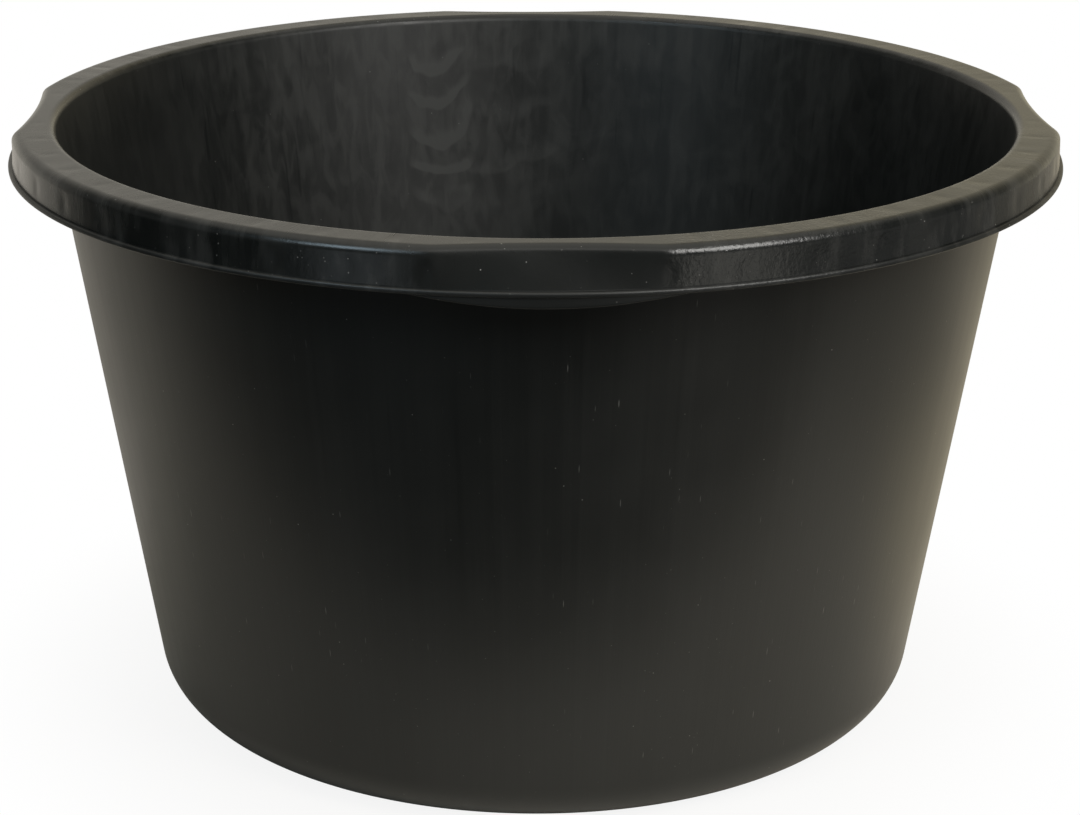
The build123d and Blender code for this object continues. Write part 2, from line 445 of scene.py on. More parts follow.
def turned_region(node, points, finish, closed=True, set_in=None, marks=None, **settings):
    """A region turned from section points (radius, height).

    set_in gives a point's depth in a grip. marks gives how far a sink mark draws it inwards and
    downwards, and the mark's phase round the rim.
    """
    loop = list(points)
    if closed:
        loop.append(loop[0])
    name = f"moulded_{node}"
    section = bpy.data.meshes.new(name + "_section")
    section.from_pydata([(radius, 0.0, height) for radius, height in loop], [], [])
    sinks = [marks(*point) if marks else no_mark for point in loop]
    values = {"set_in": [set_in(*point) if set_in else 0.0 for point in loop]}
    values["mark_in"], values["mark_down"], values["mark_phase"] = zip(*sinks)
    for label, numbers in values.items():
        section.attributes.new(label, "FLOAT", "POINT").data.foreach_set("value", numbers)
    mesh = evaluated(name, section, region_tree, {"Finish": finish, **settings})
    shape = bmesh.new()
    shape.from_mesh(mesh)
    if shape.calc_volume(signed=True) < 0:
        bmesh.ops.reverse_faces(shape, faces=shape.faces)
        shape.to_mesh(mesh)
    print(f"{name}: {len(mesh.polygons)} faces, {shape.calc_volume() * 1e6:.0f} ml of plastic")
    shape.free()
    piece_from_mesh(mesh, node)


# %% [markdown]
# The plastic is polyethylene coloured with carbon black, so the body colour is almost nothing and
# nearly all that the eye sees is reflection. A flat black would look like a hole. What makes it read
# as plastic is that its gloss is uneven: soft clouds where the mould was polished differently,
# hair-thin drawn lines along the wall, scuffs, and dust that clings to it. Patterns are laid out in
# the tub's own directions, round the axis and up the wall, so they follow the moulding.

# %% Colours of the plastic, and coordinates for its patterns
deep_black = (0.0058, 0.0066, 0.0061, 1)
rubbed_black = (0.0270, 0.0275, 0.0255, 1)
flow_grey = (0.0500, 0.0505, 0.0475, 1)
dust_grey = (0.34, 0.33, 0.31, 1)
above_zero = 1e-8


def emptied(holder):
    """The node tree of a material or a world, without its first nodes."""
    holder.use_nodes = True
    holder.node_tree.nodes.clear()
    return Wires(holder.node_tree)


plastic = bpy.data.materials.new("satin_black_plastic")
paint = emptied(plastic)
x, y, z = paint.parts(paint.value("ShaderNodeTexCoord", None, None, "Object"))
radius = paint.maths("SQRT", x * x + y * y + above_zero)


def scaled(fineness):
    """The place itself, with a number of features to the metre."""
    return paint.vector(x * fineness, y * fineness, z * fineness)


def around(fineness, up, out=0.0):
    """Coordinates that run round the tub without a seam, up it, and out from its axis."""
    return paint.vector(x / radius * fineness, y / radius * fineness, z * up + radius * out)


print("plastic from", deep_black[:3], "to", rubbed_black[:3])

# %% [markdown]
# Inside, outside and rim carry different marks. Which is which follows from the distance to the
# middle of the wall's thickness. The rounding of the mouth lies on that line but is as smooth as the
# land, so it counts as rim. One more mask is 0 at the four grips and 1 between them.

# %% Where each pattern belongs
wall_middle = base_radius - wall_thickness / 2 + z * math.tan(lean)
off_wall = radius - wall_middle
mouth = paint.ease(z, tub_height - mouth_radius * 0.65, tub_height - mouth_radius * 0.25)
inside = paint.fade(off_wall, -0.0008, 0.0008) * (1 - mouth)
rim = paint.maths("MAXIMUM", paint.ease(off_wall, 0.0028, 0.0050), mouth)
outside = (1 - inside) * (1 - rim)
nearest_axis = paint.maths("MINIMUM", paint.maths("ABSOLUTE", x), paint.maths("ABSOLUTE", y))
off_grip = paint.ease(nearest_axis, 0.055, 0.078)
print("nodes for the masks:", len(plastic.node_tree.nodes))

# %% [markdown]
# All over the tub there are soft clouds, a fine grain and dust. The dust is a cell pattern in space:
# only cells whose middle happens to touch the surface leave a dot, so the dots vary in size. The rim
# and the outside gather more of it than the inside.

# %% Marks all over
cloud = paint.noise(scaled(11.0), detail=3.0, roughness=0.55)
grain = paint.noise(scaled(640.0), roughness=0.6)
dust = paint.specks(scaled(85.0), 0.040) * (1 - inside * 0.5)
dust = dust + paint.specks(scaled(150.0), 0.055) * outside * 0.40
dust = dust + paint.specks(scaled(180.0), 0.095) * rim * 0.6
print("nodes with the marks all over:", len(plastic.node_tree.nodes))

# %% [markdown]
# Outside, the wall has drawn lines from leaving the mould and short scratches from stacking. The
# lines are noise that changes quickly round the tub and slowly up it. They end above the heel.

# %% Marks on the outside of the wall
drawn = paint.noise(around(44.0, 1.6), detail=3.0, roughness=0.6)
hairs = paint.noise(around(230.0, 5.0), roughness=0.6)
upright = paint.ease(z, 0.010, 0.050, 0.25, 1.0)
worn = paint.ease(paint.noise(scaled(5.0)), 0.42, 0.60)
scratches = paint.specks(around(72.0, 26.0), 0.085) * outside * worn
print("nodes with the outside's marks:", len(plastic.node_tree.nodes))

# %% [markdown]
# Inside, the melt has left flow marks: streaks of uneven length that hang from the mouth, cloudy
# swirls, tall blotches and a few dark runs. Each is a soft mask between 0 and 1, made of noise that is
# stretched round the tub or up it, and most of them are strongest at the back.

# %% Flow marks inside
hang_length = paint.noise(around(13.0, 0.0), detail=3.0, roughness=0.65) * 0.085 - 0.012
hanging = paint.ease(z - (tub_height - hang_length), -0.004, 0.010)
hanging = hanging * paint.ease(paint.noise(around(34.0, 2.0)), 0.36, 0.62)
hanging = hanging * paint.ease(x, -0.26, -0.14, 0.45, 1.0) * paint.fade(x, 0.08, 0.24, left=0.15)
swirls = paint.ease(paint.noise(around(8.0, 24.0), detail=5.0, roughness=0.62, swirl=1.6), 0.42, 0.62)
sheets = paint.ease(paint.noise(around(20.0, 7.0), swirl=0.6), 0.45, 0.65)
blotches = paint.ease(paint.noise(around(30.0, 34.0), detail=3.0, swirl=0.9), 0.42, 0.64)
blotches = blotches * paint.ease(x, -0.26, -0.17, 0.2, 1.0) * paint.fade(x, -0.06, 0.04, left=0.4)
drips = paint.ease(paint.noise(around(80.0, 5.0), detail=1.0), 0.64, 0.74)
drips = drips * paint.ease(paint.noise(around(9.0, 16.0)), 0.52, 0.62)
print("nodes with the flow marks:", len(plastic.node_tree.nodes))

# %% [markdown]
# At the back two flows met, and left a set of smile-shaped arcs one above another. They are a saw
# wave up the wall whose height sags like a parabola to both sides, with some noise so that no two
# are alike. A fainter and wider set lies beside them.


# %% Arcs where two flows met
def flow_arcs(angle, half_width, pitch, sag, lift):
    """Smile-shaped marks at an angle inside the tub, one above another."""
    turn = math.radians(angle)
    aside = x * math.sin(turn) - y * math.cos(turn)
    facing = x * math.cos(turn) + y * math.sin(turn)
    wander = (paint.noise(scaled(26.0)) - 0.5) * pitch * 1.2
    step = paint.maths("FRACT", (z - lift - aside * aside * sag - aside * 0.10 + wander) / pitch)
    smiles = paint.band(step, 0.0, 0.14, 0.16, 0.58)
    smiles = smiles * paint.ease(paint.noise(paint.vector(0.0, 0.0, z * 30.0)), 0.35, 0.60, 0.3, 1.0)
    across = paint.fade(paint.maths("ABSOLUTE", aside), half_width * 0.6, half_width)
    along = paint.band(z, 0.230, 0.265, 0.356, 0.370)
    return smiles * across * along * paint.ease(facing, 0.0, 0.1)


arcs = flow_arcs(103.0, half_width=0.027, pitch=0.026, sag=22.0, lift=0.0095)
wide_arcs = flow_arcs(93.0, half_width=0.045, pitch=0.034, sag=9.0, lift=0.0)
flow = hanging * 0.65 + (swirls + sheets) * 0.30 * paint.ease(x, -0.29, -0.16, 0.35, 1.0)
flow = flow + blotches * 0.55 + arcs * 2.20 + wide_arcs * 0.40
flow = (flow - drips * 0.45) * inside * upright * paint.ease(z, 0.19, 0.30, 0.55, 1.0)
print("nodes with the arcs:", len(plastic.node_tree.nodes))

# %% [markdown]
# The rim cools over its ribs, so the land has faint radial streaks and the skirt upright bands. Both
# come from a noise that runs round the tub quickly and hardly changes outwards or upwards. The grips
# have none, because no rib stands behind them. Right of the front grip the skin is finely pitted.

# %% Marks on the rim
streaks = paint.noise(around(13.0, 5.0, 7.0), detail=3.0, roughness=0.55)
bands = paint.ease(streaks, 0.44, 0.56)
fine_streaks = paint.noise(around(120.0, 22.0, 22.0), roughness=0.6)
rim_marks = rim * off_grip * paint.ease(paint.noise(scaled(9.0)), 0.32, 0.62)
peel = paint.noise(scaled(300.0), detail=3.0, roughness=0.6)
pits = paint.noise(scaled(430.0), roughness=0.6)
settled = paint.ease(paint.noise(around(24.0, 30.0, 40.0), detail=3.0, roughness=0.6), 0.46, 0.70)
settled = settled * rim * off_grip
pitted = paint.band(x, 0.055, 0.075, 0.19, 0.23) * paint.fade(y, -0.24, -0.20) * rim
lip_bead = rim * paint.fade(z, lip_top - 0.0002, lip_top + 0.0006)
print("nodes with the rim's marks:", len(plastic.node_tree.nodes))

# %% [markdown]
# The marks come together in three sums. The rub says how far the skin has turned from deep black to
# rubbed black, the roughness how wide its highlights spread, and the relief goes to a bump. Noise
# lies about 0.5, so most marks swing to both sides of it: they brighten here and darken there. The
# rim is glossier than the wall, apart from its lip, and the inside is glossiest at its right.

# %% Join the marks in the shader
plain_rub = 0.10
plain_roughness = 0.40
bump_height = 0.00020
polymer_ior = 1.5


def swing(pattern):
    """A pattern as what it adds or takes away."""
    return pattern - 0.5


wall_hairs = (1 - rim) * (1 - inside * 0.5) * upright
rub = plain_rub + swing(cloud) * 0.5 + flow * 0.62
rub = rub + swing(hairs) * 0.22 * wall_hairs + swing(drawn) * 0.25 * outside
rub = rub + (swing(streaks) * 0.6 + swing(bands) * 0.3 + swing(fine_streaks) * 0.35) * rim_marks

rough = plain_roughness + swing(cloud) * 0.10 + swing(drawn) * 0.06 * outside + flow * 0.08
rough = rough + inside * paint.ease(x, 0.10, 0.28, 0.03, -0.08) - rim * 0.13 + lip_bead * 0.16
rough = rough + (swing(streaks) * 0.12 + swing(bands) * 0.03 + swing(fine_streaks) * 0.12) * rim_marks

relief = grain * 0.14 + hairs * 0.14 * wall_hairs
relief = relief + (streaks * 1.8 + peel * 0.30) * rim_marks + pits * (pitted * 0.9 + rim * 0.20)

pale_flow = (arcs * 0.33 + wide_arcs * 0.10 + blotches * 0.08) * inside
all_dust = dust * 0.9 + scratches * 0.4 + settled * 0.05
colour = paint.blend(paint.clamped(rub), deep_black, rubbed_black)
colour = paint.blend(paint.clamped(pale_flow), colour, flow_grey)
colour = paint.blend(paint.clamped(all_dust), colour, dust_grey)
bump = {"Height": relief, "Strength": 1.0, "Distance": bump_height}
skin = {
    "Base Color": colour,
    "Roughness": paint.clamped(rough),
    "Normal": paint.value("ShaderNodeBump", None, bump),
    "IOR": polymer_ior,
}
shader = paint.value("ShaderNodeBsdfPrincipled", None, skin)
paint.node("ShaderNodeOutputMaterial", None, {"Surface": shader})
print("nodes in the plastic:", len(plastic.node_tree.nodes))

# %% [markdown]
# Base, heel and wall are plain turned sections. Each seam between two regions lies a little way
# into a straight run, so that the shading on both sides of it is the same and no line shows. The
# base stands on a flat ring, and its middle is lifted so that the tub doesn't rock.

# %% Base
seam_step = 0.0010
on_ring = heel_centre_radius - seam_step
ring_start = heel_centre_radius - standing_width
lift_start = ring_start - lift_run
base_top = base_lift + wall_thickness
base_points = [
    *run((0.0, base_lift), (lift_start, base_lift), 12),
    *run((lift_start, base_lift), (ring_start, 0.0), 4),
    *run((ring_start, 0.0), (on_ring, 0.0), 4),
    *run((on_ring, 0.0), (on_ring, wall_thickness), 2),
    *run((on_ring, wall_thickness), (ring_start, wall_thickness), 4),
    *run((ring_start, wall_thickness), (lift_start, base_top), 4),
    *run((lift_start, base_top), (0.0, base_top), 12),
    (0.0, base_top),
]
turned_region("floor_panel", base_points, plastic, closed=False, Columns=361)

# %% [markdown]
# The heel is two arcs about one centre, a wall's thickness apart. The wall goes straight on from it.

# %% Heel and wall
heel_centre = (heel_centre_radius, heel_radius)
heel_inner_radius = heel_radius - wall_thickness


def heel_end(radius, step=seam_step):
    """Where an arc of the heel meets the wall, or a step up the wall from there."""
    return (
        heel_centre_radius + radius * math.cos(lean) + step * math.sin(lean),
        heel_radius - radius * math.sin(lean) + step * math.cos(lean),
    )


heel_top_out = heel_end(heel_radius)
heel_top_in = heel_end(heel_inner_radius)
heel_points = [
    *run((on_ring, 0.0), (heel_centre_radius, 0.0), 2),
    *arc(heel_centre, heel_radius, -90, -lean_degrees, 28),
    *run(heel_end(heel_radius, 0.0), heel_top_out, 2),
    *run(heel_top_out, heel_top_in, 2),
    heel_top_in,
    *arc(heel_centre, heel_inner_radius, -lean_degrees, -90, 28),
    *run((heel_centre_radius, wall_thickness), (on_ring, wall_thickness), 2),
    *run((on_ring, wall_thickness), (on_ring, 0.0), 2),
]
turned_region("heel_ring", heel_points, plastic)

collar_out = (outside_radius(collar_bottom), collar_bottom)
collar_in = (inside_radius(collar_bottom), collar_bottom)
wall_points = [
    *run(heel_top_out, collar_out, 36),
    *run(collar_out, collar_in, 2),
    *run(collar_in, heel_top_in, 36),
    *run(heel_top_in, heel_top_out, 2),
]
turned_region("side_wall", wall_points, plastic)

# %% [markdown]
# The rim is where the eye goes. Its land, shoulder and skirt share one rule: a point's radius on
# the plain rim, and how much further in it lies in the middle of a grip. The shoulder's rounding is
# tangent to the skirt everywhere, so in a grip, where the skirt leans, it starts higher up.

# %% Roundings of the rim
seam_height = tub_height - shoulder_radius - 0.0004
flat_end = skirt_top_radius - shoulder_radius
tangent_reach = 1 / math.cos(lean) - math.tan(lean)
round_radius = wall_mouth_radius + mouth_radius * tangent_reach
mouth_centre = (round_radius, tub_height - mouth_radius)
mouth_end = (
    mouth_centre[0] - mouth_radius * math.cos(lean),
    mouth_centre[1] + mouth_radius * math.sin(lean),
)
flare_radius = mouth_radius - wall_thickness
flare_reach = flare_radius * tangent_reach
flare_centre = (outside_radius(land_bottom) + flare_reach, land_bottom - flare_radius)
flare_points = [
    *arc(flare_centre, flare_radius, 180 - lean_degrees, 90, 6),
    (flare_centre[0], land_bottom),
]
print(f"flat part of the land is {(flat_end - round_radius) * 1000:.1f} mm wide")


# %% Helpers: the rim's points, and where they lie in a grip
def outer_point(height):
    return (rim_radius(0, height), height)


def inner_point(height):
    return (rim_radius(wall_thickness, height), height)


def grip_inset(inset, height):
    """How far the middle of a grip lies inside the plain rim, at a height."""
    return rim_radius(inset, height) - rim_radius(inset, height, grip_depth, grip_foot_depth)


def shoulder_heights(inset, steps):
    """Heights of the points of a shoulder's rounding, closer together towards its flat top."""
    bend = tub_height - shoulder_radius
    rounding = shoulder_radius - inset
    return [bend + rounding * math.sin(quarter_turn * i / steps) for i in range(steps + 1)]


# %% [markdown]
# The land has three rules for its points. On the shoulder a grip is as deep as the skirt's. Across
# the flat top its depth fades to nothing at the mouth, which stays a circle. And over each rib the
# flat top sinks by a fifth of a millimetre, as a thick spot of a moulding does when it cools.

# %% Land, shoulder and collar
land_sink = 0.00020
below_skin = 1e-4


def flat_share(radius):
    """0 at the mouth's end of the flat top, 1 at the shoulder's end."""
    return min(max((radius - round_radius) / (flat_end - round_radius), 0.0), 1.0)


def land_set_in(radius, height):
    """Grip depth of a point of the land's section: full at the shoulder, none at the mouth."""
    if radius < flat_end - touching:
        return grip_depth * flat_share(radius)
    inner = height <= land_bottom + touching and radius < rim_radius(0, height) - below_skin
    return grip_inset(wall_thickness if inner else 0.0, height)


def land_marks(radius, height):
    """Ribs leave sink marks across the flat top of the land."""
    if height < tub_height - touching:
        return no_mark
    return (0.0, land_sink * math.sin(math.pi * flat_share(radius)), 0.0)


outer_shoulder = [outer_point(height) for height in shoulder_heights(0, 16)]
inner_shoulder = [inner_point(height) for height in reversed(shoulder_heights(wall_thickness, 8))]
seam_out = outer_point(seam_height)
seam_in = inner_point(seam_height)
land_points = [
    *run(collar_out, flare_points[0], 2),
    *flare_points[:-1],
    *run(flare_points[-1], inner_shoulder[0], 8),
    *inner_shoulder,
    *run(seam_in, seam_out, 2),
    seam_out,
    *outer_shoulder[:-1],
    *run((flat_end, tub_height), (round_radius, tub_height), 12),
    *arc(mouth_centre, mouth_radius, 90, 180 - lean_degrees, 14),
    *run(mouth_end, collar_in, 3),
    *run(collar_in, collar_out, 2),
]
turned_region("rim_land", land_points, plastic, set_in=land_set_in, marks=land_marks)

# %% [markdown]
# The skirt hangs from the shoulder to the lip. Grips and plain runs have the same section and differ
# only in the stretch of angle that is turned, so two loops make all eight. Cutting them out of one
# ring would work as well, but here each is a closed body from the start. The skirt's sink marks lie
# half way between those on the land.

# %% Skirt runs and grips
skirt_sink = 0.00035
sides = ["right", "back", "left", "front"]
corners = ["back_right", "back_left", "front_left", "front_right"]
lip_top_out = outer_point(lip_top)
lip_top_in = inner_point(lip_top)
skirt_points = [
    *[outer_point(height) for _, height in run((0, lip_top), (0, seam_height), 8)],
    *run(seam_out, seam_in, 2),
    *[inner_point(height) for _, height in run((0, seam_height), (0, lip_top), 8)],
    *run(lip_top_in, lip_top_out, 2),
]


def on_inner_face(radius, height):
    return radius < rim_radius(0, height) - wall_thickness / 2


def skirt_set_in(radius, height):
    """Grip depth of a point of the skirt's section."""
    return grip_inset(wall_thickness if on_inner_face(radius, height) else 0.0, height)


def skirt_marks(radius, height):
    """Sink marks on the outside of the skirt, deepest half way up."""
    up = (height - lip_top) / (seam_height - lip_top)
    depth = 0.0 if on_inner_face(radius, height) else skirt_sink * math.sin(math.pi * up)
    return (depth, 0.0, math.pi)


def skirt_region(node, columns, start, sweep):
    """One stretch of the skirt, with a cap at each end."""
    stretch = {"Columns": columns, "Start": start, "Sweep": sweep, "Caps": 1}
    turned_region(node, skirt_points, plastic, set_in=skirt_set_in, marks=skirt_marks, **stretch)


for number, side in enumerate(sides):
    skirt_region(f"grip_{side}", 103, number * quarter_turn - grip_end_angle, 2 * grip_end_angle)
plain_sweep = quarter_turn - 2 * grip_end_angle
for number, corner in enumerate(corners):
    skirt_region(f"rim_skirt_{corner}", 133, number * quarter_turn + grip_end_angle, plain_sweep)

# %% [markdown]
# The lip is a bead round the foot of the skirt. A bevel on a plain ring would make it, but in a
# turned section two arcs do the same: a round one on top, which draws the thin bright line, and a
# small one below. In a grip its inner side follows the skirt, and its outer side stays a circle.

# %% Lip
lip_inner = skirt_foot_radius - wall_thickness
lip_round = 0.0016
lip_edge = 0.0007
lip_points = [
    *run((lip_inner, lip_bottom), (lip_radius - lip_edge, lip_bottom), 4),
    *arc((lip_radius - lip_edge, lip_bottom + lip_edge), lip_edge, -90, 0, 5),
    *run((lip_radius, lip_bottom + lip_edge), (lip_radius, lip_top - lip_round), 2),
    *arc((lip_radius - lip_round, lip_top - lip_round), lip_round, 0, 90, 10),
    *run((lip_radius - lip_round, lip_top), (skirt_foot_radius, lip_top), 2),
    *run((skirt_foot_radius, lip_top), (lip_inner, lip_top), 3),
    *run((lip_inner, lip_top), (lip_inner, lip_bottom), 2),
]


def lip_set_in(radius, height):
    """The lip's inner edge follows the grip; its outer edge is a plain circle."""
    return grip_foot_depth if radius < skirt_foot_radius + touching else 0.0


turned_region("rim_lip", lip_points, plastic, set_in=lip_set_in)

# %% [markdown]
# Under the lip each grip has a lug, a thin apron whose lower edge sags like a smile. Its depth
# changes along its length, so it is built directly, column by column.

# %% Section of a lug
lug_half_width = 0.0770
lug_depth = 0.0065
lug_setback = 0.0012
lug_edge = 0.0008
lug_tip = 1e-5
lug_columns = 120
lug_outer = lip_radius - lug_setback
lug_inner = lug_outer - wall_thickness
lug_bend = (lug_half_width**2 + lug_depth**2) / (2 * lug_depth)


def lug_section(drop):
    """Section of the lug where it hangs down by drop, with its lower edges rounded."""
    edge = min(lug_edge, drop / 2)
    low = lip_bottom - drop
    points = run((lug_outer, lip_bottom), (lug_outer, low + edge), 4)
    points += arc((lug_outer - edge, low + edge), edge, 0, -90, 4)
    points += arc((lug_inner + edge, low + edge), edge, -90, -180, 4)
    points += run((lug_inner, low + edge), (lug_inner, lip_bottom), 4)
    points.append((lug_inner, lip_bottom))
    return points


print(f"a lug's lower edge bends with a radius of {lug_bend * 1000:.0f} mm")


# %% Lugs
def lug(side, number):
    """The lug of one grip, as a row of sections that are joined."""
    shape = bmesh.new()
    rings = []
    for column in range(lug_columns + 1):
        along = lug_half_width * (2 * column / lug_columns - 1)
        drop = math.sqrt(lug_bend**2 - along**2) - (lug_bend - lug_depth)
        turn = number * quarter_turn + math.asin(along / lug_outer)
        ring = []
        for radius, height in lug_section(max(drop, lug_tip)):
            ring.append(shape.verts.new((radius * math.cos(turn), radius * math.sin(turn), height)))
        rings.append(ring)
    size = len(rings[0])
    for left, right in zip(rings, rings[1:]):
        for i in range(size):
            j = (i + 1) % size
            shape.faces.new((left[i], left[j], right[j], right[i]))
    shape.faces.new(rings[0])
    shape.faces.new(reversed(rings[-1]))
    bmesh.ops.recalc_face_normals(shape, faces=shape.faces)
    for face in shape.faces:
        face.smooth = True
    for edge in shape.edges:
        edge.smooth = edge.calc_face_angle(0.0) < sharp_angle
    mesh = bpy.data.meshes.new(f"moulded_lug_{side}")
    shape.to_mesh(mesh)
    shape.free()
    mesh.materials.append(plastic)
    piece_from_mesh(mesh, f"lug_{side}")


for number, side in enumerate(sides):
    lug(side, number)
print("lugs:", len(sides))

# %% [markdown]
# In the channel under the land stand thin ribs that keep the rim stiff. One rib is modelled with
# softened lower edges, and a Geometry Nodes tree sets a copy at every rib place that isn't behind a
# grip. An Array modifier could repeat it too, but the tree says plainly which places are filled.

# %% One rib
rib_thickness = 0.0025
rib_depth = 0.0150
rib_edge = 0.0005
rib_foot = land_bottom - rib_depth
rib_bend = land_bottom - (shoulder_radius - wall_thickness)


def rib_corner(height):
    """Where the rib's outer edges meet the skirt at a height."""
    return (math.sqrt(rim_radius(wall_thickness, height) ** 2 - (rib_thickness / 2) ** 2), height)


def one_rib():
    """A rib on the +X side: its outline, given a thickness, with its long lower edges bevelled."""
    outline = [*reversed(flare_points), (outside_radius(rib_foot), rib_foot)]
    outline += [rib_corner(height) for height in (rib_foot, rib_bend, land_bottom)]
    shape = bmesh.new()
    rib_side = [shape.verts.new((radius, -rib_thickness / 2, height)) for radius, height in outline]
    grown = bmesh.ops.extrude_face_region(shape, geom=[shape.faces.new(rib_side)])
    across = [item for item in grown["geom"] if isinstance(item, bmesh.types.BMVert)]
    bmesh.ops.translate(shape, verts=across, vec=(0, rib_thickness, 0))
    bmesh.ops.recalc_face_normals(shape, faces=shape.faces)
    low = [edge for edge in shape.edges if all(vert.co.z < rib_foot + touching for vert in edge.verts)]
    long_low = [edge for edge in low if edge.calc_length() > 2 * rib_thickness]
    bmesh.ops.bevel(shape, geom=long_low, offset=rib_edge, segments=2, affect="EDGES", profile=0.5)
    mesh = bpy.data.meshes.new("one_rib")
    shape.to_mesh(mesh)
    shape.free()
    return mesh


print(f"a rib reaches {rib_depth * 1000:.0f} mm down from the land")

# %% Rows of ribs
rib_inputs = {
    "Places": ("NodeSocketInt", rib_places),
    "First": ("NodeSocketInt", 2),
    "Count": ("NodeSocketInt", 9),
    "Start": ("NodeSocketFloat", 0.0),
    "Finish": ("NodeSocketMaterial", None),
}


def rib_tree():
    """Copies of a rib round the rim, without those behind a grip."""
    tree, wires, given = named_tree("rib row", rib_inputs)
    line = {"Count": given["Count"], "Offset": (0, 0, 0)}
    points = wires.value("GeometryNodeMeshLine", {"mode": "OFFSET"}, line)
    number = wires.value("GeometryNodeInputIndex")
    angle = given["Start"] + (number + given["First"]) * (2 * math.pi) / given["Places"]
    row = {"Points": points, "Instance": given["Geometry"], "Rotation": wires.vector(0.0, 0.0, angle)}
    copies = wires.value("GeometryNodeInstanceOnPoints", None, row)
    finish_tree(wires, copies, given["Finish"])
    return tree


rib_row = rib_tree()
for number, corner in enumerate(corners):
    settings = {"Start": number * quarter_turn, "Finish": plastic}
    mesh = evaluated(f"moulded_rim_ribs_{corner}", one_rib(), rib_row, settings)
    piece_from_mesh(mesh, f"rim_ribs_{corner}")
    print(mesh.name, len(mesh.polygons), "faces")

# %% [markdown]
# The stage is a round sheet of pale paper. The camera sees it as plain white with a soft shadow at
# the foot of the tub. The tub itself is a dark mirror, so what it reflects decides how it looks: the
# sheet is near at the sides and behind, and ends close in front, where the room beyond is dark. That
# is why the middle of the wall stays black and its sides and foot turn grey. Shade is painted on the
# sheet: its colour is darker at the front left, beside the tub on the right and far to the right. To
# reflections it glows beside and behind, with a warmer tone on the right. Its places are in metres
# from the tub's axis, across and along.

# %% Paper of the floor, as the lamps light it, with painted shade
white = (1, 1, 1, 1)
bright_paper = (0.84, 0.79, 0.70, 1)
# A darker copy of the paper's colour, used for the painted shade.
painted_shade_paper = (0.10, 0.095, 0.085, 1)

paper = bpy.data.materials.new("pale_paper")
sheet = emptied(paper)
across, along, _ = sheet.parts(sheet.value("ShaderNodeTexCoord", None, None, "Object"))
away = sheet.maths("SQRT", across * across + along * along)
# Painted shade: where these masks are high, the paper's colour turns to the darker copy.
painted_shade_left = sheet.fade(across, -0.20, 0.0) * sheet.fade(along + across * 0.15, -0.16, -0.04)
painted_shade_right = sheet.ease(across, 0.45, 0.65) * sheet.band(along, -0.32, -0.20, 0.15, 0.40)
painted_shade_far = sheet.ease(across, 0.95, 1.25) * sheet.fade(along, 1.0, 1.5)
painted_shade_share = sheet.clamped(painted_shade_left * 0.36 + (painted_shade_right + painted_shade_far) * 0.58)
bright = sheet.value("ShaderNodeBsdfDiffuse", None, {"Color": bright_paper})
painted_shade_diffuse = sheet.value("ShaderNodeBsdfDiffuse", None, {"Color": painted_shade_paper})
lit_paper_with_painted_shade = sheet.value("ShaderNodeMixShader", None, {0: painted_shade_share, 1: bright, 2: painted_shade_diffuse})
print("nodes for the lit paper:", len(paper.node_tree.nodes))

# %% [markdown]
# Light Path tells who is looking. For the camera the paper is white, a little less so near the tub,
# where its own lit surface shows through and keeps the shadow, with a little of the painted shade at
# the front left of the foot. For mirrored rays the glow is added.

# %% Paper of the floor, as the camera and the tub see it
shadow_reach = 0.42
shadow_start = base_radius * 0.8
white_at_foot = 0.88
cool_glow = (1.0, 0.94, 0.84, 1)
warm_glow = (1.0, 0.89, 0.65, 1)

rays = sheet.node("ShaderNodeLightPath")
seen = Value(sheet, rays.outputs["Is Camera Ray"])
mirrored = Value(sheet, rays.outputs["Is Glossy Ray"])
far_glow = sheet.ease(away, 0.30, 0.75) * sheet.ease(along, 0.0, 0.5)
far_glow = far_glow * sheet.ease(along, 0.6, 1.3, 0.32, 0.85) * sheet.fade(across, 0.90, 1.20)
near_glow = sheet.band(across, 0.15, 0.28, 0.50, 0.80) * sheet.ease(along, -0.15, 0.05)
right_glow = sheet.band(across, 0.45, 0.60, 0.85, 1.10) * sheet.band(along, 0.40, 0.56, 0.80, 1.00)
left_glow = sheet.band(across, -0.70, -0.50, -0.35, -0.25) * sheet.band(along, 0.05, 0.20, 0.30, 0.45)
glow = sheet.clamped(far_glow + near_glow * 0.95 + right_glow * 0.60 + left_glow * 0.30)
white_share = seen * sheet.ease(away, shadow_start, shadow_reach, white_at_foot, 1.0) + mirrored * glow
warmth = sheet.blend(sheet.ease(across, 0.05, 0.45), cool_glow, warm_glow)
tint = sheet.blend(seen, warmth, white)
glowing = sheet.value("ShaderNodeEmission", None, {"Color": tint, "Strength": 1.0})
paper_look = sheet.value("ShaderNodeMixShader", None, {0: white_share, 1: lit_paper_with_painted_shade, 2: glowing})
sheet.node("ShaderNodeOutputMaterial", None, {"Surface": paper_look})
print("nodes in the paper:", len(paper.node_tree.nodes))

# %% [markdown]
# The sheet is a flat disc, a hair below the tub's foot so that the two surfaces don't fight. Its
# centre lies behind the tub, so its front edge is close.

# %% Floor
floor_centre = Vector((0.12, 1.16, -0.0002))
floor_radius = 1.58
disc = bmesh.new()
bmesh.ops.create_circle(disc, cap_ends=True, radius=floor_radius, segments=128)
bmesh.ops.translate(disc, verts=disc.verts, vec=floor_centre)
floor_mesh = bpy.data.meshes.new("studio_floor")
disc.to_mesh(floor_mesh)
disc.free()
floor_mesh.materials.append(paper)
floor = placed("studio_floor", floor_mesh)
print(f"the sheet ends {floor_radius - floor_centre.y:.2f} m in front of the tub's axis")

# %% [markdown]
# The room round the sheet is a dome. Behind the tub it is pale, which the land and the shoulder
# mirror, and warmer on the right, and its ceiling is paler still. In front it is dark, with a faint
# band at the horizon, a little light low down on the right, and two soft patches that the skirt
# mirrors beside the front grip. The camera sees plain white instead. A lamp could make each of
# these, but the dome is free of noise and casts no hard highlight.

